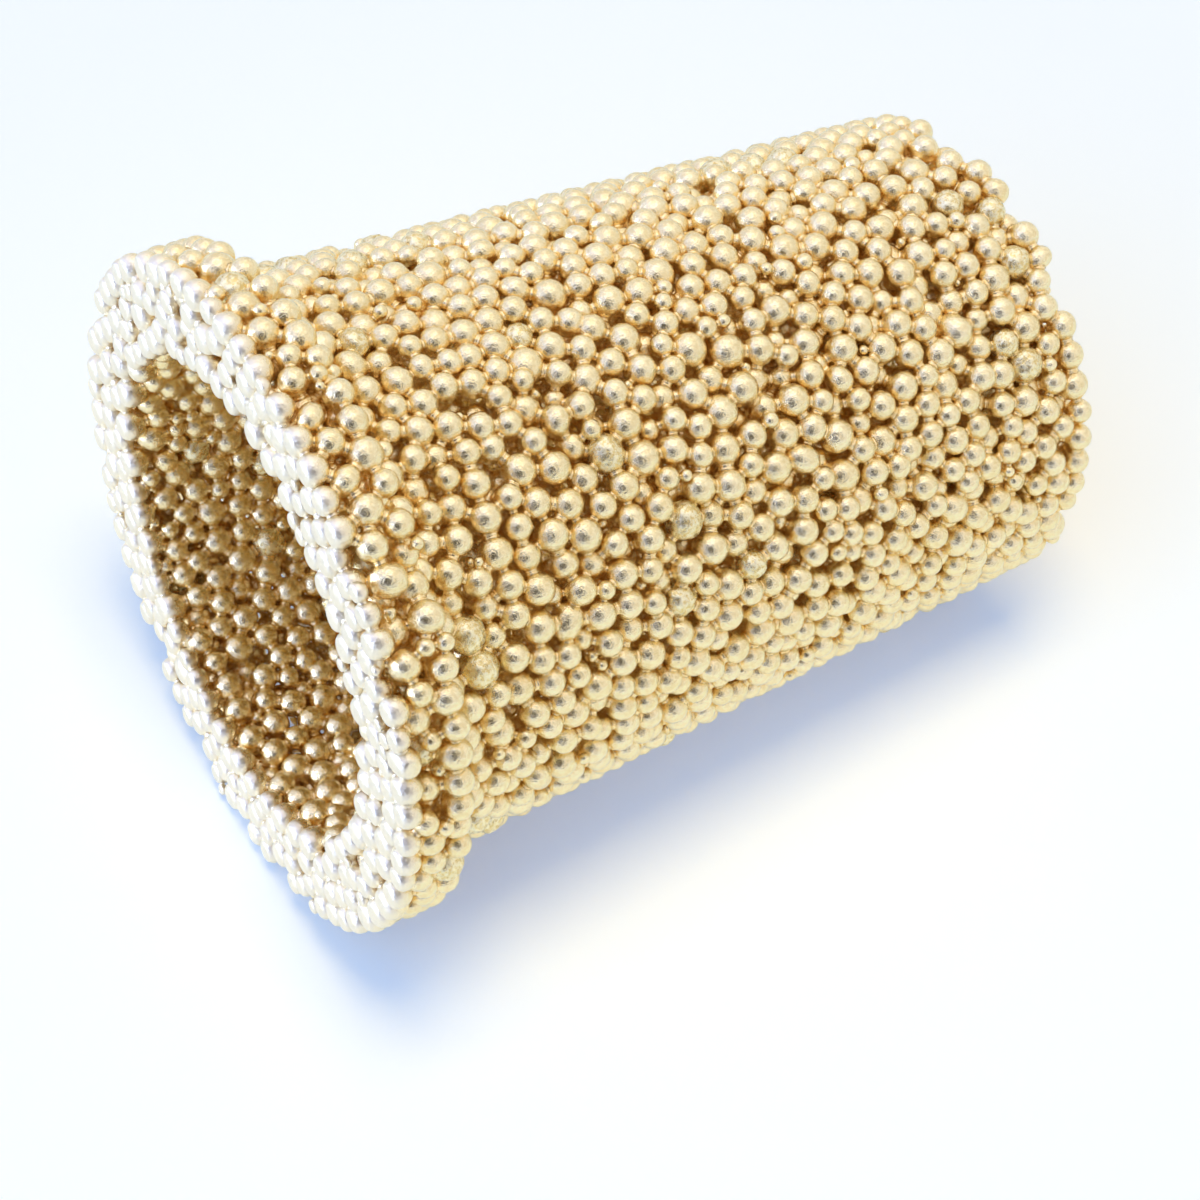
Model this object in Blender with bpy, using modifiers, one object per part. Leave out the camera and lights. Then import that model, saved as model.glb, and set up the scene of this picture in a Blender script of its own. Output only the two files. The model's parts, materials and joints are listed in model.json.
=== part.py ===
"""Porous filter cup: a flanged, slightly tapered thimble of sintered bronze beads.

The real thing is some thousands of small bronze balls, poured into a mould and
heated until they stick together where they touch. Its wall is two balls thick and
its flange three. Each object here is the outer shape of one layer of balls.

The cup lies on its side, as it rests on a table: on the back edge of its flange
and on the edge of its closed end. X runs from the flange to the closed end, Z is
up, and the origin is on the table under the middle of the cup's box.
"""
import math

import bmesh
import bpy
from mathutils import Vector

MM = 0.001

# Driving dimensions.
FLANGE_RADIUS = 17.0 * MM
FLANGE_THICKNESS = 3.9 * MM # three layers of balls
BARREL_RADIUS = 15.0 * MM   # outside of the barrel, where it meets the flange
END_RADIUS = 12.6 * MM      # outside of the barrel, at its closed end
LENGTH = 42.0 * MM          # from the flange's face to the closed end
WALL = 3.2 * MM             # two balls, in the barrel and in the closed end
FLANGE_LAYERS = 3
WALL_LAYERS = 2
CLEARANCE = 0.3 * MM        # gap between the solids of two layers
FACETS = 32                 # flat sides of every round layer
MERGE_DISTANCE = 0.01 * MM

# Sizes that follow from them.
LAYER = (WALL - CLEARANCE) / WALL_LAYERS
DRAFT = (BARREL_RADIUS - END_RADIUS) / (LENGTH - FLANGE_THICKNESS)
REST_TILT = math.atan2(FLANGE_RADIUS - END_RADIUS, LENGTH - FLANGE_THICKNESS)
FLAT_TO_CORNER = 1.0 / math.cos(math.pi / FACETS)

# Bronze, as linear colours: bright where it faces out, duller inside.
BRIGHT_BRONZE = (0.72, 0.53, 0.30, 1.0)
WARM_BRONZE = (0.60, 0.38, 0.17, 1.0)
DULL_BRONZE = (0.30, 0.21, 0.13, 1.0)


def clear_scene():
    """Remove the objects and collections that the new file came with."""
    for old in list(bpy.data.objects):
        bpy.data.objects.remove(old, do_unlink=True)
    for old in list(bpy.data.collections):
        bpy.data.collections.remove(old)


def outside_radius(depth):
    """Radius of the barrel's outside, at a depth behind the flange's face."""
    return BARREL_RADIUS - DRAFT * (depth - FLANGE_THICKNESS)


def bore_radius(depth):
    """Radius of the bore, which tapers as the outside does."""
    return outside_radius(depth) - WALL


def bronze(name, colour, roughness):
    """A metal material in one colour."""
    material = bpy.data.materials.new(name)
    material.use_nodes = True
    shader = material.node_tree.nodes["Principled BSDF"]
    shader.inputs["Base Color"].default_value = colour
    shader.inputs["Metallic"].default_value = 1.0
    shader.inputs["Roughness"].default_value = roughness
    material.diffuse_color = colour
    return material


def turned(name, profile, material, axle, home, closed=True):
    """Turn an outline of (radius, depth) points about the cup's axis.

    The outline goes down the outer side first. The flats of the turned shape
    touch its true circle, so that it is never smaller than the real layer.
    """
    mesh = bpy.data.meshes.new(name)
    shape = bmesh.new()
    corners = []
    for radius, depth in profile:
        corners.append(shape.verts.new((radius * FLAT_TO_CORNER, 0.0, -depth)))
    for first, second in zip(corners, corners[1:]):
        shape.edges.new((first, second))
    if closed:
        shape.edges.new((corners[-1], corners[0]))
    shape.to_mesh(mesh)
    shape.free()
    mesh.materials.append(material)

    layer = bpy.data.objects.new(name, mesh)
    home.objects.link(layer)
    layer.parent = axle
    layer.rotation_euler.z = math.pi / FACETS   # a flat side faces the table
    screw = layer.modifiers.new("turn", "SCREW")
    screw.axis = "Z"
    screw.angle = math.tau
    screw.steps = FACETS
    screw.render_steps = FACETS
    screw.use_merge_vertices = True
    screw.merge_threshold = MERGE_DISTANCE
    screw.use_smooth_shade = False
    return layer


def ring(top, bottom, outer, inner):
    """Outline of a ring between two depths, with radii given at any depth."""
    return [
        (outer(top), top),
        (outer(bottom), bottom),
        (inner(bottom), bottom),
        (inner(top), top),
    ]


def disc(top, bottom, outer):
    """Outline of a disc between two depths, from the axis and back to it."""
    return [
        (0.0, top),
        (outer(top), top),
        (outer(bottom), bottom),
        (0.0, bottom),
    ]


def build_flange(axle, home):
    """Three rings, one layer of balls each: the face, the core and the back."""
    pitch = (FLANGE_THICKNESS + CLEARANCE) / FLANGE_LAYERS
    names = ("flange_face_beads", "flange_core_beads", "flange_back_beads")
    for index, name in enumerate(names):
        top = index * pitch
        bottom = top + pitch - CLEARANCE
        outline = ring(top, bottom, lambda depth: FLANGE_RADIUS, bore_radius)
        if name == "flange_back_beads":
            # Only the shoulder outside the barrel comes to the flange's back.
            seat = BARREL_RADIUS + CLEARANCE
            recess = bottom - CLEARANCE
            outline[2:3] = [
                (seat, bottom),
                (seat, recess),
                (bore_radius(recess), recess),
            ]
        turned(name, outline, bronze(name, BRIGHT_BRONZE, 0.3), axle, home)


def build_barrel(axle, home):
    """The two layers of the wall, from the flange to the closed end's discs."""
    top = FLANGE_THICKNESS
    bottom = LENGTH - LAYER - CLEARANCE

    outer_skin = ring(top, bottom, outside_radius,
                      lambda depth: outside_radius(depth) - LAYER)
    turned("barrel_outer_beads", outer_skin,
           bronze("barrel_outer_beads", WARM_BRONZE, 0.3), axle, home)

    inner_skin = ring(top, LENGTH - WALL - CLEARANCE,
                      lambda depth: bore_radius(depth) + LAYER, bore_radius)
    turned("barrel_bore_beads", inner_skin,
           bronze("barrel_bore_beads", DULL_BRONZE, 0.4), axle, home)


def build_end(axle, home):
    """The two layers of the closed end: an outer disc and one inside the wall."""
    outer_disc = disc(LENGTH - LAYER, LENGTH, outside_radius)
    turned("end_outer_beads", outer_disc,
           bronze("end_outer_beads", WARM_BRONZE, 0.3), axle, home, closed=False)

    inner_disc = disc(LENGTH - WALL, LENGTH - LAYER - CLEARANCE,
                      lambda depth: bore_radius(depth) + LAYER)
    turned("end_inner_beads", inner_disc,
           bronze("end_inner_beads", DULL_BRONZE, 0.4), axle, home, closed=False)


def face_centre():
    """Centre of the flange's face, with the cup at rest on its two edges."""
    lean = math.sin(REST_TILT)
    level = math.cos(REST_TILT)
    height = FLANGE_THICKNESS * lean + FLANGE_RADIUS * level
    nearest = -FLANGE_RADIUS * lean
    furthest = LENGTH * level + END_RADIUS * lean
    return Vector((-(nearest + furthest) / 2.0, 0.0, height))


def build_cup():
    home = bpy.data.collections.new("filter_cup")
    bpy.context.scene.collection.children.link(home)

    # Depths run along the axle's -Z, from the open mouth to the closed end.
    axle = bpy.data.objects.new("cup_axis", None)
    home.objects.link(axle)
    axle.location = face_centre()
    axle.rotation_euler.y = REST_TILT - math.pi / 2.0

    build_flange(axle, home)
    build_barrel(axle, home)
    build_end(axle, home)
    bpy.context.view_layer.update()


clear_scene()
build_cup()
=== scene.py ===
"""Looks of the sintered bronze filter cup.

The cup is made the way the real one is. Balls of many sizes are poured into the
space between a mould and its core and settle against each other and the walls.
Then each ball gets a mesh of its own, and a neck of metal grows wherever two touch.
"""
import json
import math

import bmesh
import bpy
import numpy as np
from mathutils import Matrix, Vector
from mathutils.kdtree import KDTree


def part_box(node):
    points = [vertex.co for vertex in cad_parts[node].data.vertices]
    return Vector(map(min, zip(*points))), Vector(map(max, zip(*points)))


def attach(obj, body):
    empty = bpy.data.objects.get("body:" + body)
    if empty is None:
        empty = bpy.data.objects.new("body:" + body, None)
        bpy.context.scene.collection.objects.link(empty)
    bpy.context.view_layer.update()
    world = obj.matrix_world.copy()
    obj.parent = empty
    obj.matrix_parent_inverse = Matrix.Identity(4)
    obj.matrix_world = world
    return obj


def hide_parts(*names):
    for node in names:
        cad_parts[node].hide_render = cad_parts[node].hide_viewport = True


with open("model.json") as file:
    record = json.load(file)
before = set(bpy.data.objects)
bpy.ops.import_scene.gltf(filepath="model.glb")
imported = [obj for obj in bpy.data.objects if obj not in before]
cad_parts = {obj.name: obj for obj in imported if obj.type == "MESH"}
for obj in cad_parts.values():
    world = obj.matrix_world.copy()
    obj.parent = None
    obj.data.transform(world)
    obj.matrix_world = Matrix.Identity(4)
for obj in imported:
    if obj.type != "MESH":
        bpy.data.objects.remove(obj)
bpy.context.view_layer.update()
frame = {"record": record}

MM = 0.001

# The wall, as the CAD has it: two layers, with a gap between their solids.
WALL = 3.2 * MM
CAD_GAP = 0.3 * MM
FLANGE_LAYERS = 3

# The balls that are poured in.
BALL = 1.46 * MM                # usual diameter
BALL_SPREAD = 0.10              # standard deviation, as a share of the usual one
BALL_RANGE = (0.72, 1.25)       # ordinary balls, as shares of the usual one
SMALL_SHARE = 0.09              # fines that lie in the gaps
SMALL_RANGE = (0.38, 0.68)
LUMPY_SHARE = 0.030             # crusted, lumpy balls, which tend to be big
LUMPY_RANGE = (1.0, 1.3)
TWIN_SHARE = 0.05               # balls that froze onto a neighbour in the air
TWIN_REACH = 0.74               # their distance, as a share of two touching balls'
FILL = 0.580                    # share of the mould that the balls take up
SEED = 7

# A ball's form, in shares of its radius: standard deviations of its stretch along
# an axis and of its lean towards a drop, for round balls and for egg-shaped ones.
EGG_SHARE = 0.08
ROUND_STRETCH = 0.035
EGG_STRETCH = 0.20
STRETCH_RANGE = (-0.16, 0.26)
ROUND_DROP = 0.012
EGG_DROP = 0.07

# A ball's surface: number, height and angular width of its bumps, and its crust's height.
SMOOTH_FORM = (12, 0.016, 0.38, 0.0)
LUMPY_FORM = (160, 0.024, 0.13, 0.014)

# The flange's face, which was pressed flat and rubbed.
FACE_PRESS = 0.16 * MM          # how far its balls stood out before
FACE_CROWN = 0.32               # share of a pressed cap's height that is left
FACE_BLEND = 0.10 * MM          # rounding at the edge of a pressed cap
FACE_SPREAD = 0.20              # how much wider a pressed ball gets at its tip
FACE_STEP = 0.07 * MM           # most that one cap lies behind the next
RUBBED_FULL = 0.15 * MM         # fully bright down to here
RUBBED_FADE = 1.0 * MM          # and as dark as the rest this much deeper

# Pouring and settling.
POUR_TRIALS = 300000
LOOSE_ROUNDS = 60
ROUNDS = 340
SEARCH_EVERY = 6                # rounds between two searches for neighbours
SEARCH_REACH = 2.05             # reach of a search, in radii of the biggest ball
PUSH = 0.42                     # share of an overlap undone in one round
LEAN = 0.006 * MM               # drift in one round onto the core and the face

# Grains too fine to settle with the rest: they sit in the holes that are left.
HOLES_TRIED = 60000
HOLE_WALLS = 5                  # nearest balls that may bound a hole
GRAIN_RADIUS = (0.22 * MM, 0.50 * MM)
GRAIN_GROWTH = 1.12             # how much more than the hole a grain takes up
GRAIN_SPACING = 0.9             # least distance of two grains, as a share of touching
SKIN = 0.45 * MM                # the surfaces are left free of them this deep
SKIN_START = 10.0 * MM          # and less so this near to the flange

# Sintering.
NECK_REACH = 2.2                # reach of the search for necks, in radii of the biggest ball
NECK_GAP = 0.012                # widest gap that a neck bridges, as a share of a diameter
NECK_FILLET = (0.07, 0.22)      # fillet radius at a neck, in radii of the smaller ball
NECK_SIDES = 8
NECK_ROWS = 3

# Painted shade: how far each part of a ball is hidden by the balls around it, which turns the
# metal redder in the crevices.
CREVICE_SHADE_GAP = 0.25              # widest gap to a ball that casts painted shade on it, in diameters
CREVICE_SHADE_COSINE = (0.35, 0.90)   # where a neighbour's painted shade begins and is full
CREVICE_SHADE_POWER = 1.5
CREVICE_SHADE_STRENGTH = 1.5          # of a neighbour, times its radius over its distance
CREVICE_SHADE_MOST = 0.95

# Meshes.
BALL_SUBDIVISIONS = 3
FINE_SUBDIVISIONS = 4           # lumpy balls and pressed ones
FACE_SECTORS = 3
OUTER_BANDS = 7
BORE_BANDS = 6

# The UV square: necks below, balls above, each in a cell of its own.
NECK_MAP_SHARE = 0.22           # height of the square that the necks take
NECK_CELL = 1.0                 # a cell's height as a share of its width
BALL_CELL = 0.5
HALF_MAPS = (0.25, 0.75)        # middles of a ball's two round maps, across its cell
HALF_MAP_RADIUS = 0.20


def mount(name):
    """Place and outward axis of one of the record's mounts."""
    for entry in frame["record"]["mounts"]:
        if entry["name"] == name:
            return Vector(entry["pos_m"]), Vector(entry["axis"]).normalized()
    raise ValueError(name)


def half_width(node):
    """Half of a node's size across the cup, which is a true radius of it."""
    low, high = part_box(node)
    return (high[1] - low[1]) / 2.0


class Mould:
    """The space that the balls fill, in the cup's own frame.

    Points are (x, y, depth): depth runs along the cup's axis from the flange's
    face to the closed end.
    """

    def __init__(self):
        end, axis = mount("closed_end")
        face, _ = mount("flange_face")
        shoulder, _ = mount("clamp_shoulder")
        self.length = (end - face).dot(axis)
        self.flange = (shoulder - face).dot(axis)
        self.flange_radius = half_width("flange_face_beads")
        self.barrel_radius = half_width("barrel_outer_beads")
        layer = (WALL - CAD_GAP) / 2.0
        narrowing = self.barrel_radius - half_width("end_outer_beads")
        self.draft = narrowing / (self.length - layer - self.flange)
        self.floor = self.length - WALL
        across = Vector((0.0, 1.0, 0.0))
        upward = axis.cross(across).normalized()
        turn = Matrix((upward, across, axis)).transposed().to_4x4()
        self.to_world = Matrix.Translation(end - axis * self.length) @ turn

    def outside(self, depth):
        """Radius of the barrel's outside, which gets smaller towards the closed end."""
        return self.barrel_radius - self.draft * (depth - self.flange)

    def bore(self, depth):
        """Radius of the core."""
        return self.outside(depth) - WALL

    def scatter(self, count, rng):
        """Random points in the box around the cup."""
        reach = self.flange_radius
        return rng.uniform((-reach, -reach, 0.0), (reach, reach, self.length), (count, 3))

    def holds(self, points):
        """Which of the points lie in the space."""
        radius = np.hypot(points[:, 0], points[:, 1])
        depth = points[:, 2]
        in_flange = (depth < self.flange) & (radius < self.flange_radius)
        within = in_flange | (radius < self.outside(depth))
        solid = (radius > self.bore(depth)) | (depth > self.floor)
        return within & solid & (depth > -FACE_PRESS) & (depth < self.length)

    def contain(self, points, radii):
        """Move the balls that poke through a wall back inside it."""
        depth = np.clip(points[:, 2], radii - FACE_PRESS, self.length - radii)
        radius = np.hypot(points[:, 0], points[:, 1])
        radius = np.minimum(radius, self.flange_radius - radii)

        # Outside the barrel and behind the flange there are no balls.
        across, along = out_of_corner(
            radius - self.outside(depth), depth - self.flange, radii)
        radius = self.outside(depth) + across
        depth = self.flange + along

        # In the core, before the cup's floor, there are none either.
        across, along = out_of_corner(
            self.bore(depth) - radius, self.floor - depth, radii)
        radius = self.bore(depth) - across
        depth = self.floor - along

        scale = radius / np.maximum(np.hypot(points[:, 0], points[:, 1]), 1e-9)
        return np.column_stack((points[:, 0] * scale, points[:, 1] * scale, depth))

    def lean(self, points):
        """One round's drift of the balls beside the core and beside the face."""
        radius = np.hypot(points[:, 0], points[:, 1])
        depth = points[:, 2]
        drift = np.zeros_like(points)
        by_core = (radius < self.bore(depth) + WALL / 2.0) & (depth > BALL)
        by_core &= depth < self.floor - BALL / 2.0
        drift[by_core, :2] = -LEAN * points[by_core, :2] / radius[by_core, None]
        drift[depth < BALL, 2] = -LEAN
        return drift

    def room(self, points):
        """Distance from each point to the nearest wall."""
        radius = np.hypot(points[:, 0], points[:, 1])
        depth = points[:, 2]
        in_flange = np.minimum(self.flange_radius - radius, self.flange - depth)
        skin = SKIN * np.clip((depth - self.flange) / SKIN_START, 0.0, 1.0)
        outer = np.maximum(in_flange, self.outside(depth) - radius - skin)
        inner = np.maximum(radius - self.bore(depth), depth - self.floor) - SKIN
        ends = np.minimum(depth + FACE_PRESS, self.length - depth)
        return np.minimum(np.minimum(outer, inner), ends)


def press_face(points, centres, level, rim):
    """Flatten what stands out of the flange's face; pressed balls get wider there.

    The level is how far behind the face each ball's cap lies. Nothing gets past the rim.
    """
    depth = points[..., 2]
    out = np.clip((FACE_PRESS - depth) / (2.0 * FACE_PRESS), 0.0, 1.0)
    wider = 1.0 + FACE_SPREAD * (out * in_face(centres))[..., None]
    across = centres[..., :2] + (points[..., :2] - centres[..., :2]) * wider
    reach = np.linalg.norm(across, axis=-1, keepdims=True)
    across = across * np.minimum(1.0, rim / np.maximum(reach, rim / 2.0))
    cap = level + FACE_CROWN * (depth + FACE_PRESS)
    depth = (depth + cap + np.hypot(depth - cap, FACE_BLEND)) / 2.0
    return np.concatenate((across, depth[..., None]), axis=-1)


def rubbed_share(points):
    """How bright the face's metal was rubbed, which fades into the gaps behind it."""
    return np.clip(1.0 - (points[..., 2] - RUBBED_FULL) / RUBBED_FADE, 0.0, 1.0)


def in_face(centres):
    """Which balls lie in the pressed layer of the flange's face."""
    return centres[..., 2] < BALL / 2.0


def out_of_corner(u, v, radii):
    """Push discs out of the quadrant where u and v are both above zero."""
    u, v = u.copy(), v.copy()
    beside_u = (u <= v) & (v > 0.0) & (u > -radii)
    beside_v = (v < u) & (u > 0.0) & (v > -radii)
    reach = np.hypot(u, v)
    near = (u <= 0.0) & (v <= 0.0) & (reach < radii)
    grow = radii[near] / np.maximum(reach[near], 1e-9)
    u[near] *= grow
    v[near] *= grow
    u[beside_u] = -radii[beside_u]
    v[beside_v] = -radii[beside_v]
    return u, v


def close_pairs(points, reach):
    """Pairs of points nearer to each other than reach, by sorting into cells."""
    cells = np.floor((points - points.min(axis=0)) / reach).astype(np.int64) + 1
    span = cells.max(axis=0) + 2
    keys = (cells[:, 0] * span[1] + cells[:, 1]) * span[2] + cells[:, 2]
    order = np.argsort(keys, kind="stable")
    keys = keys[order]
    firsts, seconds = [], []
    for dx in (-1, 0, 1):
        for dy in (-1, 0, 1):
            for dz in (-1, 0, 1):
                step = (dx * span[1] + dy) * span[2] + dz
                start = np.searchsorted(keys, keys + step, "left")
                stop = np.searchsorted(keys, keys + step, "right")
                count = stop - start
                before = np.repeat(np.cumsum(count) - count, count)
                first = np.repeat(np.arange(len(keys)), count)
                second = np.repeat(start, count) + np.arange(count.sum()) - before
                keep = first < second
                firsts.append(order[first[keep]])
                seconds.append(order[second[keep]])
    first = np.concatenate(firsts)
    second = np.concatenate(seconds)
    near = np.linalg.norm(points[first] - points[second], axis=1) < reach
    return first[near], second[near]


def ball_radii(count, rng):
    """Radii of the balls, and which of them are the lumpy ones."""
    share = 1.0 + BALL_SPREAD * rng.standard_normal(count)
    share = np.clip(share, *BALL_RANGE)
    lot = rng.random(count)
    small = lot < SMALL_SHARE
    lumpy = lot > 1.0 - LUMPY_SHARE
    share[small] = rng.uniform(*SMALL_RANGE, small.sum())
    share[lumpy] = rng.uniform(*LUMPY_RANGE, lumpy.sum())
    return share * BALL / 2.0, lumpy


def pour(mould, rng):
    """Balls scattered in the mould until they take up their share of it."""
    trial = mould.scatter(POUR_TRIALS, rng)
    held = mould.holds(trial)
    volume = 4.0 * mould.flange_radius ** 2 * mould.length * held.mean()
    places = trial[held]
    radii, lumpy = ball_radii(len(places), rng)
    poured = np.cumsum(4.0 / 3.0 * math.pi * radii ** 3)
    count = int(np.searchsorted(poured, FILL * volume))
    return places[:count], radii[:count], lumpy[:count]


def settle(mould, points, radii, partner, rounds):
    """Push the balls apart until they only touch; twins stay stuck together."""
    reach = SEARCH_REACH * radii.max()
    for turn in range(rounds):
        if turn % SEARCH_EVERY == 0:
            first, second = close_pairs(points, reach)
            twins = partner[first] == second
            touching = (radii[first] + radii[second]) * np.where(twins, TWIN_REACH, 1.0)
        apart = points[first] - points[second]
        distance = np.maximum(np.linalg.norm(apart, axis=1), 1e-9)
        overlap = touching - distance
        overlap[(overlap < 0.0) & ~twins] = 0.0
        move = apart * (PUSH * overlap / distance)[:, None] / 2.0
        shift = mould.lean(points)
        for axis in range(3):
            shift[:, axis] += np.bincount(first, move[:, axis], len(points))
            shift[:, axis] -= np.bincount(second, move[:, axis], len(points))
        points = mould.contain(points + shift, radii)
    return points


def choose_twins(points, radii, lumpy, rng):
    """For each ball, the ball that it is frozen onto, or -1."""
    partner = np.full(len(points), -1)
    first, second = close_pairs(points, 2.0 * radii.max())
    gap = np.linalg.norm(points[first] - points[second], axis=1) - radii[first] - radii[second]
    touching = np.flatnonzero(gap < 0.0)
    free = ~lumpy
    wanted = int(TWIN_SHARE * len(points) / 2)
    for pair in rng.permutation(touching):
        a, b = first[pair], second[pair]
        if wanted and free[a] and free[b]:
            partner[a], partner[b] = b, a
            free[a] = free[b] = False
            wanted -= 1
    return partner


def grains(mould, points, radii, rng):
    """Grains for the holes between the balls, largest hole first."""
    trial = mould.scatter(HOLES_TRIED, rng)
    trial = trial[mould.holds(trial)]
    tree = KDTree(len(points))
    for index, point in enumerate(points):
        tree.insert(point, index)
    tree.balance()
    hole = np.empty(len(trial))
    for index, point in enumerate(trial):
        nearest = tree.find_n(point, HOLE_WALLS)
        hole[index] = min(away - radii[ball] for _, ball, away in nearest)
    size = np.minimum(GRAIN_GROWTH * hole, mould.room(trial))
    size = np.minimum(size, GRAIN_RADIUS[1])
    order = np.argsort(-size)
    order = order[size[order] > GRAIN_RADIUS[0]]
    places, sizes = np.empty((0, 3)), np.empty(0)
    for index in order:
        away = np.linalg.norm(places - trial[index], axis=1)
        if np.all(away > GRAIN_SPACING * (sizes + size[index])):
            places = np.vstack((places, trial[index]))
            sizes = np.append(sizes, size[index])
    return places, sizes


class Balls:
    """The settled balls, with everything that their meshes need."""

    def __init__(self, mould, rng):
        points, radii, lumpy = pour(mould, rng)
        alone = np.full(len(points), -1)
        points = settle(mould, points, radii, alone, LOOSE_ROUNDS)
        partner = choose_twins(points, radii, lumpy, rng)
        points = settle(mould, points, radii, partner, ROUNDS)
        extra, extra_radii = grains(mould, points, radii, rng)
        points = np.concatenate((points, extra))
        radii = np.concatenate((radii, extra_radii))
        lumpy = np.concatenate((lumpy, np.zeros(len(extra), dtype=bool)))
        count = len(points)
        self.points, self.radii, self.lumpy = points, radii, lumpy
        self.rim = mould.flange_radius
        self.tone = rng.random(count)
        self.turns = random_turns(count, rng)
        self.axes = random_directions(count, rng)
        egg = rng.random(count) < EGG_SHARE
        stretch = np.where(egg, EGG_STRETCH, ROUND_STRETCH) * rng.standard_normal(count)
        self.stretch = np.clip(stretch, *STRETCH_RANGE)
        self.drop = np.where(egg, EGG_DROP, ROUND_DROP) * rng.standard_normal(count)
        self.shake_out()

    def shake_out(self):
        """Drop the few balls that no neck joins to the rest."""
        fused = joined_to_most(len(self.points), *contacts(self)[0])
        for name in ("points", "radii", "lumpy", "tone", "turns", "axes", "stretch", "drop"):
            setattr(self, name, getattr(self, name)[fused])


def joined_to_most(count, first, second):
    """Which of count balls the pairs link, through others, to the largest group."""
    group = np.arange(count)
    while True:
        lowest = group.copy()
        np.minimum.at(lowest, first, group[second])
        np.minimum.at(lowest, second, group[first])
        if np.array_equal(lowest, group):
            return group == np.bincount(group).argmax()
        group = lowest


def random_directions(count, rng):
    """Unit vectors, spread evenly over the sphere."""
    v = rng.standard_normal((count, 3))
    return v / np.linalg.norm(v, axis=1)[:, None]


def random_turns(count, rng):
    """Rotation matrices, from unit quaternions."""
    q = rng.standard_normal((count, 4))
    w, x, y, z = (q / np.linalg.norm(q, axis=1)[:, None]).T
    rows = (
        1 - 2 * (y * y + z * z), 2 * (x * y - z * w), 2 * (x * z + y * w),
        2 * (x * y + z * w), 1 - 2 * (x * x + z * z), 2 * (y * z - x * w),
        2 * (x * z - y * w), 2 * (y * z + x * w), 1 - 2 * (x * x + y * y),
    )
    return np.stack(rows, axis=1).reshape(count, 3, 3)


def icosphere(subdivisions):
    """Vertices and triangles of a unit icosphere."""
    bm = bmesh.new()
    bmesh.ops.create_icosphere(bm, subdivisions=subdivisions, radius=1.0)
    bm.verts.ensure_lookup_table()
    vertices = np.array([v.co[:] for v in bm.verts])
    faces = np.array([[v.index for v in f.verts] for f in bm.faces])
    bm.free()
    return vertices / np.linalg.norm(vertices, axis=1)[:, None], faces


def ball_vertices(balls, chosen, unit, rng, form):
    """Vertices of the chosen balls: one row of them for each ball."""
    bumps, height, width, crust = form
    directions = np.einsum("nij,vj->nvi", balls.turns[chosen], unit)
    along = np.einsum("nvi,ni->nv", directions, balls.axes[chosen])
    size = 1.0 + balls.stretch[chosen, None] * (along ** 2 - 1.0 / 3.0)
    size += balls.drop[chosen, None] * along ** 3
    for _ in range(bumps):
        centre = random_directions(len(chosen), rng)
        near = np.einsum("nvi,ni->nv", directions, centre)
        lift = height * rng.standard_normal(len(chosen))
        size += lift[:, None] * np.exp((near - 1.0) / (1.0 - math.cos(width)))
    if crust:
        size += crust * rng.standard_normal(size.shape)
    centres = balls.points[chosen, None, :]
    out = directions * (size * balls.radii[chosen, None])[:, :, None]
    level = FACE_STEP * balls.tone[chosen, None]
    return press_face(out + centres, centres, level, balls.rim), directions


def shelter_of(balls, chosen, directions, first, second):
    """How far each vertex of the chosen balls looks into a neighbour, from 0 to 1: the painted
    shade of the crevices.
    """
    row = np.full(len(balls.points), -1)
    row[chosen] = np.arange(len(chosen))
    both = np.concatenate((np.column_stack((first, second)), np.column_stack((second, first))))
    both = both[row[both[:, 0]] >= 0]
    towards = balls.points[both[:, 1]] - balls.points[both[:, 0]]
    distance = np.linalg.norm(towards, axis=1)
    towards /= distance[:, None]
    rows = row[both[:, 0]]
    reach = balls.radii[both[:, 1]] / distance
    facing = np.einsum("pvi,pi->pv", directions[rows], towards)
    begin, full = CREVICE_SHADE_COSINE
    share = np.clip((facing - begin) / (full - begin), 0.0, 1.0) ** CREVICE_SHADE_POWER
    share = np.clip(CREVICE_SHADE_STRENGTH * share * reach[:, None], 0.0, CREVICE_SHADE_MOST)
    clear = np.zeros(directions.shape[:2])
    np.add.at(clear, rows, np.log(1.0 - share))
    return 1.0 - np.exp(clear)


def neck_vertices(balls, first, second, rng):
    """Rings of each neck, which is a fillet between two balls, and a point in each."""
    a, b = balls.radii[first], balls.radii[second]
    between = balls.points[second] - balls.points[first]
    distance = np.linalg.norm(between, axis=1)
    axis = between / distance[:, None]
    fillet = rng.uniform(*NECK_FILLET, len(first)) * np.minimum(a, b)
    x = ((a + fillet) ** 2 - (b + fillet) ** 2 + distance ** 2) / (2.0 * distance)
    y = np.sqrt(np.maximum((a + fillet) ** 2 - x ** 2, 0.0))
    start = np.arctan2(-y, -x)
    stop = np.arctan2(-y, distance - x)
    share = np.linspace(0.0, 1.0, NECK_ROWS + 1)
    angle = start[:, None] + (stop - start)[:, None] * share
    along = x[:, None] + fillet[:, None] * np.cos(angle)
    out = y[:, None] + fillet[:, None] * np.sin(angle)
    helper = np.where(np.abs(axis[:, :1]) < 0.8, [[1.0, 0.0, 0.0]], [[0.0, 1.0, 0.0]])
    side = np.cross(axis, helper)
    side /= np.linalg.norm(side, axis=1)[:, None]
    other = np.cross(axis, side)
    around = 2.0 * math.pi * np.arange(NECK_SIDES) / NECK_SIDES
    ring = (np.cos(around)[None, :, None] * side[:, None, :]
            + np.sin(around)[None, :, None] * other[:, None, :])
    rings = (out[:, :, None, None] * ring[:, None, :, :]
             + (along[:, :, None] * axis[:, None, :])[:, :, None, :])
    ends = along[:, [0, -1], None] * axis[:, None, :]
    flat = rings.reshape(len(first), -1, 3)
    centres = balls.points[first, None, :]
    points = np.concatenate((flat, ends), axis=1) + centres
    points[:, :, 2] = press_face(points, centres, FACE_STEP, balls.rim)[:, :, 2]
    return points


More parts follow.
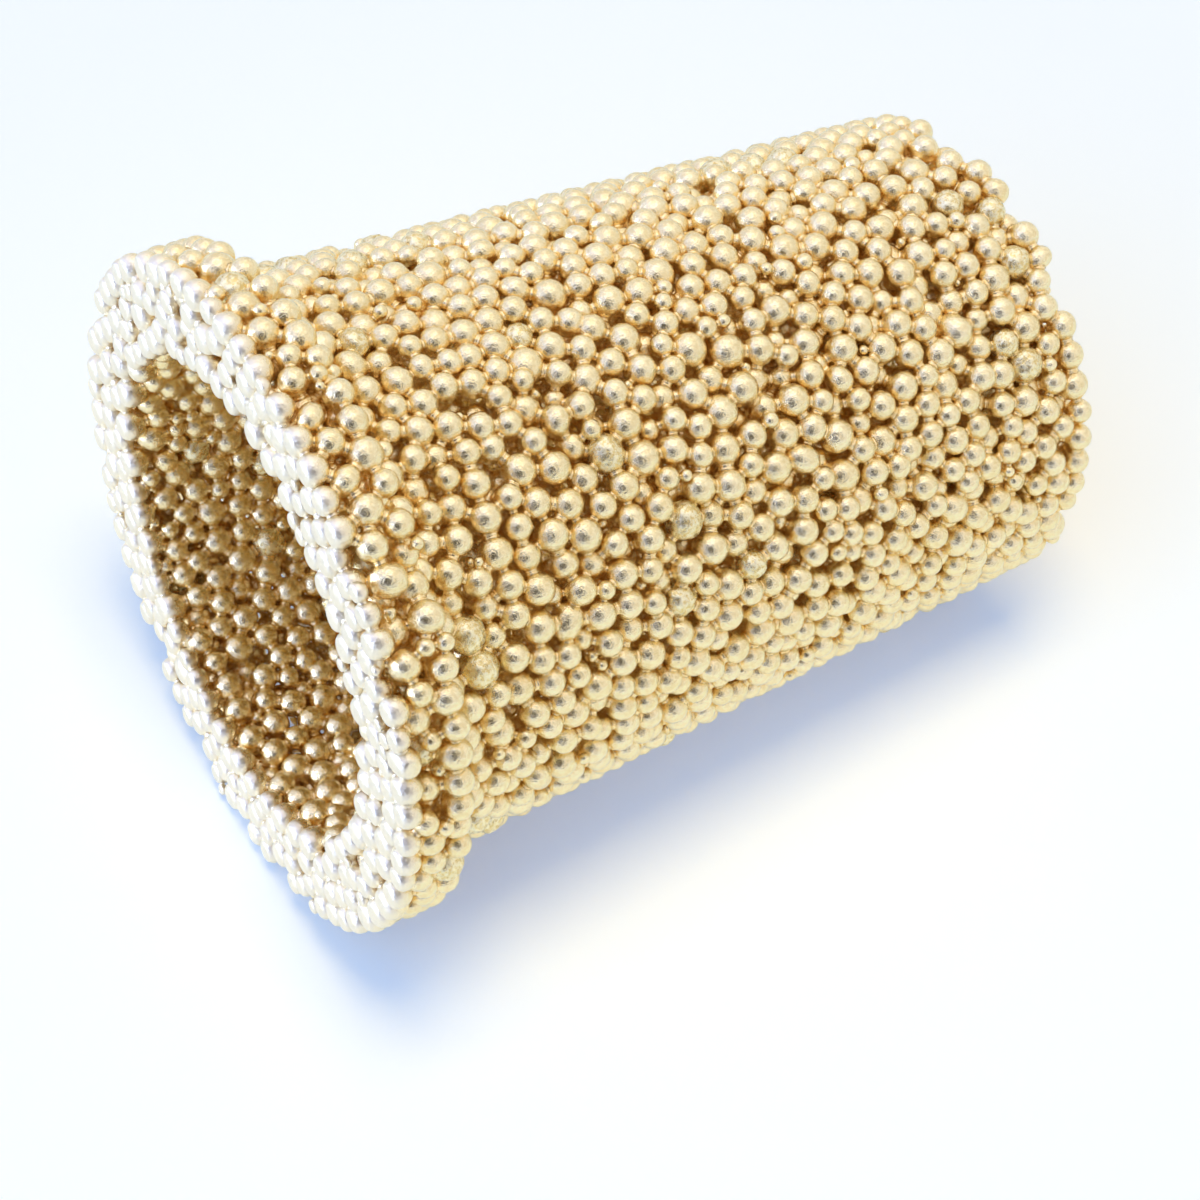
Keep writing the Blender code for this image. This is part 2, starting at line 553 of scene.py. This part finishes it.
def neck_faces():
    """Triangles of one neck, closed at both ends inside its balls."""
    faces = []
    caps = NECK_SIDES * (NECK_ROWS + 1)
    for side in range(NECK_SIDES):
        after = (side + 1) % NECK_SIDES
        for row in range(NECK_ROWS):
            low, high = row * NECK_SIDES, (row + 1) * NECK_SIDES
            faces.append((low + side, low + after, high + after))
            faces.append((low + side, high + after, high + side))
        faces.append((caps, after, side))
        last = NECK_ROWS * NECK_SIDES
        faces.append((caps + 1, last + side, last + after))
    return np.array(faces)


def contacts(balls):
    """Pairs of balls that a neck joins, and all pairs that are close."""
    first, second = close_pairs(balls.points, NECK_REACH * balls.radii.max())
    gap = np.linalg.norm(balls.points[first] - balls.points[second], axis=1)
    gap -= balls.radii[first] + balls.radii[second]
    joined = gap < NECK_GAP * BALL
    near = gap < CREVICE_SHADE_GAP * BALL
    return (first[joined], second[joined]), (first[near], second[near])


def piece_of_each(mould, balls):
    """Piece name of each ball, and the CAD node that each piece stands for."""
    depth = balls.points[:, 2]
    radius = np.hypot(balls.points[:, 0], balls.points[:, 1])
    names = np.empty(len(depth), dtype=object)
    stands_for = {}

    layer = np.floor(depth / mould.flange * FLANGE_LAYERS)
    turn = np.arctan2(balls.points[:, 1], balls.points[:, 0]) / (2.0 * math.pi) + 0.5
    sector = np.minimum(np.floor(turn * FACE_SECTORS), FACE_SECTORS - 1)
    for index in range(FACE_SECTORS):
        name = f"flange_face_balls_{index + 1}"
        names[(layer == 0) & (sector == index)] = name
        stands_for[name] = "flange_face_beads"
    for index, place in ((1, "core"), (2, "back")):
        names[layer == index] = f"flange_{place}_balls"
        stands_for[f"flange_{place}_balls"] = f"flange_{place}_beads"

    barrel = (depth >= mould.flange) & (depth < mould.floor)
    middle = mould.outside(depth) - WALL / 2.0
    along = (depth - mould.flange) / (mould.floor - mould.flange)
    for place, bands, chosen in (
            ("outer", OUTER_BANDS, barrel & (radius >= middle)),
            ("bore", BORE_BANDS, barrel & (radius < middle))):
        for band in range(bands):
            name = f"barrel_{place}_balls_{band + 1}"
            names[chosen & (np.floor(along * bands) == band)] = name
            stands_for[name] = f"barrel_{place}_beads"

    end = depth >= mould.floor
    outer_half = depth >= mould.length - WALL / 2.0
    for place, chosen in (("inner", end & ~outer_half), ("outer", end & outer_half)):
        names[chosen] = f"end_{place}_balls"
        stands_for[f"end_{place}_balls"] = f"end_{place}_beads"
    return names, stands_for


def hemisphere_uv(unit, faces):
    """UV of each face corner of a ball, as two round maps side by side in a cell."""
    corners = unit[faces]
    upper = corners[:, :, 2].mean(axis=1) > 0.0
    height = np.where(upper[:, None], corners[:, :, 2], -corners[:, :, 2])
    reach = np.arccos(np.clip(height, -1.0, 1.0)) / (math.pi / 2.0)
    flat = np.linalg.norm(corners[:, :, :2], axis=2)
    scale = reach / np.maximum(flat, 1e-6) * HALF_MAP_RADIUS
    u = np.where(upper[:, None], *HALF_MAPS) + corners[:, :, 0] * scale
    v = 0.5 + corners[:, :, 1] * scale / BALL_CELL
    return np.stack((u, v), axis=2).reshape(-1, 2)


def neck_uv(faces):
    """UV of each face corner of a neck, in its cell; the hidden caps shrink to points."""
    side, row = faces % NECK_SIDES, faces // NECK_SIDES
    closing = side.max(axis=1) == NECK_SIDES - 1
    side = np.where(closing[:, None] & (side == 0), NECK_SIDES, side)
    u = (side + 0.5) / (NECK_SIDES + 1.0)
    v = (row + 0.5) / (NECK_ROWS + 1.0)
    uv = np.stack((u, v), axis=2)
    caps = row.max(axis=1) > NECK_ROWS
    uv[caps] = uv[caps, 1:2]
    return uv.reshape(-1, 2)


def cells(count, low, high, aspect):
    """Places and size of count equal cells between two heights of the UV square.

    The aspect is a cell's height as a share of its width.
    """
    columns = max(1, math.ceil(math.sqrt(count * aspect / (high - low))))
    rows = math.ceil(count / columns)
    index = np.arange(count)
    size = np.array((1.0 / columns, (high - low) / rows))
    place = np.stack((index % columns, index // columns), axis=1) * size
    return place + np.array((0.0, low)), size


def in_cells(template, places, size):
    """The template's UVs, repeated in each cell."""
    return (places[:, None, :] + template[None, :, :] * size).reshape(-1, 2)


class Heap:
    """Vertices, triangles, UVs and values collected for one piece's mesh."""

    def __init__(self):
        self.vertices, self.faces, self.uvs = [], [], []
        self.values = {"tone": [], "shelter": [], "lumpy": [], "rubbed": []}
        self.count = 0

    def add(self, vertices, faces, uvs, **values):
        """Take in one row of vertices for each body; all of them have the same faces."""
        each = vertices.shape[1]
        offset = self.count + each * np.arange(len(vertices))
        self.vertices.append(vertices.reshape(-1, 3))
        self.faces.append((faces[None, :, :] + offset[:, None, None]).reshape(-1, 3))
        self.uvs.append(uvs)
        for name, value in values.items():
            self.values[name].append(np.broadcast_to(value, vertices.shape[:2]).ravel())
        self.count += vertices.shape[0] * each

    def mesh(self, name, to_world):
        """The mesh of all that was taken in, turned the way the cup lies."""
        vertices = np.concatenate(self.vertices)
        faces = np.concatenate(self.faces)
        mesh = bpy.data.meshes.new(name)
        mesh.vertices.add(len(vertices))
        mesh.vertices.foreach_set("co", vertices.astype(np.float32).ravel())
        mesh.loops.add(faces.size)
        mesh.loops.foreach_set("vertex_index", faces.astype(np.int32).ravel())
        mesh.polygons.add(len(faces))
        mesh.polygons.foreach_set("loop_start", np.arange(0, faces.size, 3, dtype=np.int32))
        mesh.update(calc_edges=True)
        uv = mesh.uv_layers.new(name="OFBake")
        uv.data.foreach_set("uv", np.concatenate(self.uvs).astype(np.float32).ravel())
        for key, parts in self.values.items():
            attribute = mesh.attributes.new(key, "FLOAT", "POINT")
            attribute.data.foreach_set("value", np.concatenate(parts).astype(np.float32))
        mesh.transform(to_world)
        mesh.shade_smooth()
        return mesh


def build_pieces(mould, balls, rng, material):
    """One object for each piece, riding on the cup."""
    names, stands_for = piece_of_each(mould, balls)
    (first, second), (near_first, near_second) = contacts(balls)
    neck_triangles = neck_faces()
    neck_template = neck_uv(neck_triangles)
    plain = ~balls.lumpy & ~in_face(balls.points)
    fine = ~balls.lumpy & in_face(balls.points)
    kinds = []
    for kind, subdivisions, form in (
            (plain, BALL_SUBDIVISIONS, SMOOTH_FORM),
            (fine, FINE_SUBDIVISIONS, SMOOTH_FORM),
            (balls.lumpy, FINE_SUBDIVISIONS, LUMPY_FORM)):
        unit, faces = icosphere(subdivisions)
        kinds.append((kind, unit, faces, hemisphere_uv(unit, faces), form))

    for name, node in stands_for.items():
        members = np.flatnonzero(names == name)
        heap = Heap()
        places, size = cells(len(members), NECK_MAP_SHARE, 1.0, BALL_CELL)
        for kind, unit, faces, template, form in kinds:
            here = kind[members]
            chosen = members[here]
            if not len(chosen):
                continue
            vertices, directions = ball_vertices(balls, chosen, unit, rng, form)
            shelter = shelter_of(balls, chosen, directions, near_first, near_second)
            heap.add(
                vertices, faces, in_cells(template, places[here], size),
                tone=balls.tone[chosen, None], shelter=shelter, rubbed=rubbed_share(vertices),
                lumpy=balls.lumpy[chosen, None])
        mine = names[first] == name
        vertices = neck_vertices(balls, first[mine], second[mine], rng)
        places, size = cells(mine.sum(), 0.0, NECK_MAP_SHARE, NECK_CELL)
        # Necks lie in the crevices and get the full painted shade.
        heap.add(
            vertices, neck_triangles, in_cells(neck_template, places, size),
            tone=balls.tone[first[mine], None], shelter=1.0, rubbed=rubbed_share(vertices),
            lumpy=0.0)

        piece = bpy.data.objects.new(name, heap.mesh(name, mould.to_world))
        piece.data.materials.append(material)
        bpy.context.scene.collection.objects.link(piece)
        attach(piece, "root")
        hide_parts(node)


# --- Materials -----------------------------------------------------------------

PALE_BRONZE = (0.96, 0.83, 0.51, 1.0)
WARM_BRONZE = (0.93, 0.77, 0.42, 1.0)
# Colour of the painted shade in the crevices and on the necks.
CREVICE_SHADE_BRONZE = (1.00, 0.69, 0.29, 1.0)
RUBBED_BRONZE = (0.91, 0.84, 0.67, 1.0)
LUMPY_BRONZE = (0.96, 0.87, 0.55, 1.0)
# Darker colour in the grain's hollows: partly the crust's own mottling, partly painted shade.
LUMPY_SHADOW = (0.74, 0.57, 0.24, 1.0)

UNIT = (0.0, 1.0)               # the whole range of a share

# Noises: waves to the metre, detail and roughness.
PATCHES = (420.0, 3.0, 0.55)
GRAIN = (4200.0, 4.0, 0.65)

# What the noises and a ball's own values do. A pair is a range, low end first.
PATCH_EDGES = (0.35, 0.65)      # of the noise, from no patch to a full one
PATCH_SHARE = 0.45              # of the warmer colour, in a full patch
CREVICE_SHADE_START = 0.3             # painted shade above this turns the metal redder
CREVICE_SHADE_TINT = 0.75
FLECK_EDGES = (0.40, 0.58)      # of the grain, from a hollow with painted shade to a crystal
CRUST_SHARE = (0.35, 1.0)       # of the crust's colour, on a smooth ball and a lumpy one
GRAIN_EDGES = (0.3, 0.7)
GRAIN_ROUGHNESS = (0.12, 0.27)
LUMPY_ROUGHNESS = 0.08          # more on lumpy balls
RUBBED_ROUGHNESS = 0.20         # more on the rubbed face
BUMP_STRENGTH = 0.5
BUMP_DISTANCE = 0.20 * MM
BUMP_HEIGHT = (0.58, 0.65)      # on a smooth ball and a lumpy one


def attribute_node(nodes, name):
    """Output that gives one of the values that the meshes carry."""
    node = nodes.new("ShaderNodeAttribute")
    node.attribute_name = name
    return node.outputs["Fac"]


def mix_colours(tree, share, low, high):
    """Output of a colour mix; low and high are colours or sockets."""
    node = tree.nodes.new("ShaderNodeMix")
    node.data_type = "RGBA"
    tree.links.new(share, node.inputs["Factor"])
    for socket, value in ((node.inputs[6], low), (node.inputs[7], high)):
        if isinstance(value, tuple):
            socket.default_value = value
        else:
            tree.links.new(value, socket)
    return node.outputs[2]


def map_range(tree, value, source, target):
    """Output of a linear step from the source range to the target range."""
    node = tree.nodes.new("ShaderNodeMapRange")
    tree.links.new(value, node.inputs["Value"])
    node.inputs["From Min"].default_value = source[0]
    node.inputs["From Max"].default_value = source[1]
    node.inputs["To Min"].default_value = target[0]
    node.inputs["To Max"].default_value = target[1]
    return node.outputs["Result"]


def noise(tree, scale, detail, roughness):
    """Noise in the cup's own space; scale is in waves to the metre."""
    place = tree.nodes.new("ShaderNodeTexCoord")
    node = tree.nodes.new("ShaderNodeTexNoise")
    tree.links.new(place.outputs["Object"], node.inputs["Vector"])
    node.inputs["Scale"].default_value = scale
    node.inputs["Detail"].default_value = detail
    node.inputs["Roughness"].default_value = roughness
    return node.outputs["Fac"]


def compute(tree, operation, a, b):
    """Output of a sum or product, kept between 0 and 1; each value is a number or a socket."""
    node = tree.nodes.new("ShaderNodeMath")
    node.operation = operation
    node.use_clamp = True
    for socket, value in zip(node.inputs, (a, b)):
        if isinstance(value, float):
            socket.default_value = value
        else:
            tree.links.new(value, socket)
    return node.outputs["Value"]


def bronze_colour(tree, grain, tone, shelter, lumpy, rubbed):
    """Each ball has a tone of its own, the face is paler, and necks and crevices get painted
    shade that turns them redder.
    """
    patches = map_range(tree, noise(tree, *PATCHES), PATCH_EDGES, UNIT)
    patches = compute(tree, "MULTIPLY", patches, PATCH_SHARE)
    own = mix_colours(tree, tone, PALE_BRONZE, WARM_BRONZE)
    warmer = mix_colours(tree, patches, own, WARM_BRONZE)
    # Painted shade: necks and the crevices between balls turn redder.
    tint = map_range(tree, shelter, (CREVICE_SHADE_START, 1.0), (0.0, CREVICE_SHADE_TINT))
    sheltered = mix_colours(tree, tint, warmer, CREVICE_SHADE_BRONZE)
    # The crust's mottling, with painted shade in the grain's hollows.
    flecks = map_range(tree, grain, FLECK_EDGES, UNIT)
    crust = mix_colours(tree, flecks, LUMPY_SHADOW, LUMPY_BRONZE)
    crusted = mix_colours(tree, map_range(tree, lumpy, UNIT, CRUST_SHARE), sheltered, crust)
    return mix_colours(tree, rubbed, crusted, RUBBED_BRONZE)


def bronze_roughness(tree, grain, lumpy, rubbed):
    """Rougher in the grain's crystals, on lumpy balls and where the face was rubbed."""
    rough = map_range(tree, grain, GRAIN_EDGES, GRAIN_ROUGHNESS)
    rough = compute(tree, "ADD", rough, map_range(tree, lumpy, UNIT, (0.0, LUMPY_ROUGHNESS)))
    return compute(tree, "ADD", rough, map_range(tree, rubbed, UNIT, (0.0, RUBBED_ROUGHNESS)))


def bronze():
    """Sintered tin bronze, which reads the values that each ball's mesh carries."""
    material = bpy.data.materials.new("sintered_bronze")
    material.use_nodes = True
    tree = material.node_tree
    shader = tree.nodes["Principled BSDF"]
    shader.inputs["Metallic"].default_value = 1.0
    tone = attribute_node(tree.nodes, "tone")
    shelter = attribute_node(tree.nodes, "shelter")
    lumpy = attribute_node(tree.nodes, "lumpy")
    rubbed = attribute_node(tree.nodes, "rubbed")
    grain = noise(tree, *GRAIN)
    colour = bronze_colour(tree, grain, tone, shelter, lumpy, rubbed)
    tree.links.new(colour, shader.inputs["Base Color"])
    tree.links.new(bronze_roughness(tree, grain, lumpy, rubbed), shader.inputs["Roughness"])

    bump = tree.nodes.new("ShaderNodeBump")
    bump.inputs["Strength"].default_value = BUMP_STRENGTH
    bump.inputs["Distance"].default_value = BUMP_DISTANCE
    height = compute(tree, "MULTIPLY", grain, map_range(tree, lumpy, UNIT, BUMP_HEIGHT))
    tree.links.new(height, bump.inputs["Height"])
    tree.links.new(bump.outputs["Normal"], shader.inputs["Normal"])
    return material


def plain_material(name, colour, roughness):
    """A material for the stage, which is not part of the object."""
    material = bpy.data.materials.new(name)
    material.use_nodes = True
    shader = material.node_tree.nodes["Principled BSDF"]
    shader.inputs["Base Color"].default_value = colour
    shader.inputs["Roughness"].default_value = roughness
    return material


# --- Stage, light and camera ---------------------------------------------------

CAMERA_PLACE = Vector((-46.0, -76.2, 118.1)) * MM
CAMERA_AIM = Vector((-3.5, -5.3, 12.1)) * MM
CAMERA_LENS = 81.0
CAMERA_SENSOR = 36.0

# A dark board behind the lens.
SHADE_RADIUS = 70.0 * MM
SHADE_SHIFT = Vector((-19.0, -18.0, -21.0)) * MM
SHADE_SIDES = 48
SHADE_GREY = (0.08, 0.065, 0.045, 1.0)
SHADE_ROUGHNESS = 0.6

# The paper: the reach and the ramp are in metres from the cup.
PAPER_WHITE = (0.93, 0.94, 0.95, 1.0)
PAPER_ROUGHNESS = 0.7
PAPER_REACH = 1.5
# Painted light: the paper's own glow near the cup, which lifts its shadows, and far from it.
GLOW_NEAR = (0.187, 0.238, 0.390, 1.0)
GLOW_FAR = (0.88, 0.91, 0.95, 1.0)
GLOW_RAMP = (0.06, 0.70)

# Lights: name, place, width, height, radiance and colour.
LIGHT_AIM = Vector((0.0, 0.0, 0.01))
MIRRORED_LIGHTS = (
    ("softbox_above", (0.08, 0.13, 0.40), 0.42, 0.42, 0.24, (1.0, 0.95, 0.97)),
    ("lamp_above", (0.02, 0.03, 0.42), 0.17, 0.17, 1.0, (0.97, 0.97, 1.0)),
    ("window_left", (-0.42, 0.105, 0.13), 0.40, 0.13, 8.0, (0.58, 0.73, 1.0)),
)
PAPER_LIGHTS = (
    ("paper_key", (-0.005, -0.055, 0.42), 0.15, 0.15, 14.2, (1.0, 0.79, 0.29)),
    ("paper_sky", (0.0, 0.0, 0.45), 0.90, 0.90, 0.42, (0.84, 0.94, 1.0)),
    ("paper_left", (-0.62, -0.25, 0.85), 0.90, 0.90, 2.1, (0.22, 0.52, 1.0)),
)

# The room's light, by direction: across from left to right, and up from the horizon.
ROOM_LEFT = (0.86, 0.98, 1.75, 1.0)
ROOM_RIGHT = (0.96, 0.94, 0.99, 1.0)
ROOM_ACROSS = (-1.0, 0.4)
ROOM_STRENGTH = (0.87, 1.05)
ROOM_UP = (0.0, 0.8)
GLOSSY_BOUNCES = 10             # so that the gaps between the balls don't go black


def look(obj, target):
    """Turn a camera, light or board towards a point."""
    direction = target - obj.location
    obj.rotation_euler = direction.to_track_quat("-Z", "Y").to_euler()


def build_camera():
    """The camera, above and in front of the cup's mouth."""
    data = bpy.data.cameras.new("camera")
    data.lens = CAMERA_LENS
    data.sensor_width = CAMERA_SENSOR
    data.clip_start = 5.0 * MM
    camera = bpy.data.objects.new("camera", data)
    bpy.context.scene.collection.objects.link(camera)
    camera.location = CAMERA_PLACE
    look(camera, CAMERA_AIM)
    bpy.context.scene.camera = camera


def build_floor():
    """White paper with a glow of its own, which is painted light: faint and blue near the cup,
    where it lifts and tints the shadows, and brighter far off, where it fills in for the lamps
    far from them.
    """
    mesh = bpy.data.meshes.new("floor")
    bm = bmesh.new()
    bmesh.ops.create_grid(bm, x_segments=1, y_segments=1, size=PAPER_REACH)
    bm.to_mesh(mesh)
    bm.free()
    floor = bpy.data.objects.new("floor", mesh)
    bpy.context.scene.collection.objects.link(floor)
    paper = plain_material("paper", PAPER_WHITE, PAPER_ROUGHNESS)
    tree = paper.node_tree
    shader = tree.nodes["Principled BSDF"]
    place = tree.nodes.new("ShaderNodeTexCoord")
    away = tree.nodes.new("ShaderNodeVectorMath")
    away.operation = "LENGTH"
    tree.links.new(place.outputs["Object"], away.inputs[0])
    far = map_range(tree, away.outputs["Value"], GLOW_RAMP, UNIT)
    tree.links.new(mix_colours(tree, far, GLOW_NEAR, GLOW_FAR), shader.inputs["Emission Color"])
    shader.inputs["Emission Strength"].default_value = 1.0
    shader.inputs["Specular IOR Level"].default_value = 0.0
    mesh.materials.append(paper)


def build_camera_shade():
    """A dark round board behind the lens, which the balls mirror as a small dot."""
    mesh = bpy.data.meshes.new("camera_shade")
    bm = bmesh.new()
    bmesh.ops.create_circle(bm, cap_ends=True, segments=SHADE_SIDES, radius=SHADE_RADIUS)
    bm.to_mesh(mesh)
    bm.free()
    shade = bpy.data.objects.new("camera_shade", mesh)
    bpy.context.scene.collection.objects.link(shade)
    shade.location = CAMERA_PLACE + SHADE_SHIFT
    look(shade, CAMERA_AIM)
    mesh.materials.append(plain_material("shade_grey", SHADE_GREY, SHADE_ROUGHNESS))
    for ray in ("visible_camera", "visible_diffuse", "visible_shadow", "visible_transmission"):
        setattr(shade, ray, False)


def area_light(name, place, width, height, radiance, colour):
    """A softbox that faces the cup, as bright as radiance says."""
    data = bpy.data.lights.new(name, "AREA")
    data.shape = "RECTANGLE"
    data.size = width
    data.size_y = height
    data.energy = radiance * math.pi * width * height
    data.color = colour
    light = bpy.data.objects.new(name, data)
    bpy.context.scene.collection.objects.link(light)
    light.location = Vector(place)
    look(light, LIGHT_AIM)
    return light


def build_light():
    """Some lights are mirrored by the bronze, and the others reach the paper alone."""
    for entry in MIRRORED_LIGHTS:
        area_light(*entry).visible_diffuse = False
    for entry in PAPER_LIGHTS:
        area_light(*entry).visible_glossy = False


def build_room():
    """A pale room: bluer on the left, brighter overhead."""
    world = bpy.data.worlds.new("studio")
    bpy.context.scene.world = world
    world.use_nodes = True
    tree = world.node_tree
    background = tree.nodes["Background"]
    place = tree.nodes.new("ShaderNodeTexCoord")
    split = tree.nodes.new("ShaderNodeSeparateXYZ")
    tree.links.new(place.outputs["Generated"], split.inputs["Vector"])
    rightward = map_range(tree, split.outputs["X"], ROOM_ACROSS, UNIT)
    colour = mix_colours(tree, rightward, ROOM_LEFT, ROOM_RIGHT)
    tree.links.new(colour, background.inputs["Color"])
    strength = map_range(tree, split.outputs["Z"], ROOM_UP, ROOM_STRENGTH)
    tree.links.new(strength, background.inputs["Strength"])

    # The paper has lights of its own, so the room reaches the bronze alone.
    world.cycles_visibility.diffuse = False


build_camera()
build_floor()
build_camera_shade()
build_room()
build_light()

mould = Mould()
rng = np.random.default_rng(SEED)
balls = Balls(mould, rng)
build_pieces(mould, balls, rng, bronze())

scene = bpy.context.scene
scene.cycles.glossy_bounces = GLOSSY_BOUNCES
scene.view_settings.view_transform = "Standard"
scene.view_settings.look = "None"
